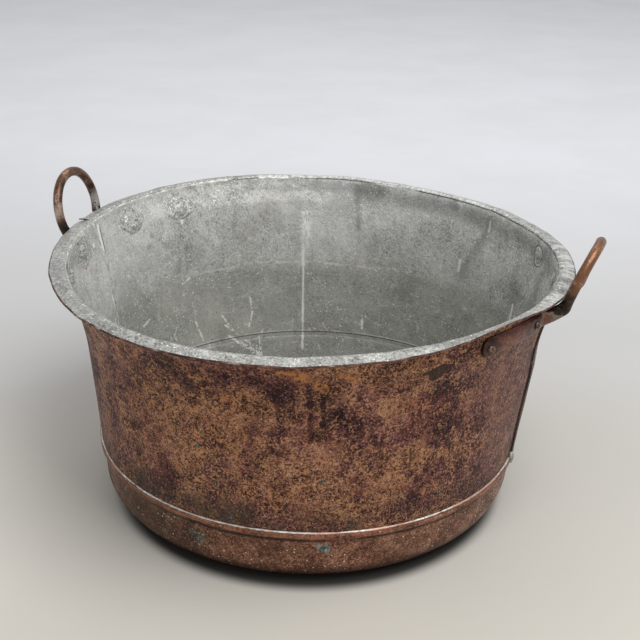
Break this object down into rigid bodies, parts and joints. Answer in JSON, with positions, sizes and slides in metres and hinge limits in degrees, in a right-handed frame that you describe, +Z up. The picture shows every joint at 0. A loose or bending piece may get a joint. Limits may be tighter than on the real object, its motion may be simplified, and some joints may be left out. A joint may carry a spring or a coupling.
{
  "type": "laundry boiler",
  "caption": "Wide flared round copper wash boiler with a rolled-out lip, a seamed rounded bottom pan and upright riveted loop handles.",
  "frame": {"origin": "centre of the round bottom face, on the floor", "axes": "+Z up along the vessel's axis; +X through the middle of one loop handle, which is also one side seam; +Y towards the back wall sheet"},
  "size_m": [0.7603, 0.7012, 0.4048],
  "materials": {
    "copper_wall": "aged copper outside, tinned inside",
    "copper_pan": "aged copper outside, tinned inside",
    "handle_copper": "forged copper bar, worn brown",
    "rivet_copper": "hammered, dark",
    "tinned_rove": "wiped tin over copper",
    "solder": "wiped tin solder"
  },
  "bodies": {
    "root": {"front_wall": "copper_wall", "back_wall": "copper_wall", "bottom_pan": "copper_pan", "seam_solder_ring": "solder", "side_solder_right": "solder", "side_solder_left": "solder", "corner_solder_right": "solder", "corner_solder_left": "solder", "handle_right": "handle_copper", "handle_left": "handle_copper", "rivet_right_1": "rivet_copper", "rivet_right_2": "rivet_copper", "rivet_right_3": "rivet_copper", "rivet_right_4": "rivet_copper", "rivet_left_1": "rivet_copper", "rivet_left_2": "rivet_copper", "rivet_left_3": "rivet_copper", "rivet_left_4": "rivet_copper", "rove_right_1": "tinned_rove", "rove_right_2": "tinned_rove", "rove_right_3": "tinned_rove", "rove_right_4": "tinned_rove", "rove_left_1": "tinned_rove", "rove_left_2": "tinned_rove", "rove_left_3": "tinned_rove", "rove_left_4": "tinned_rove"}
  },
  "joints": []
}
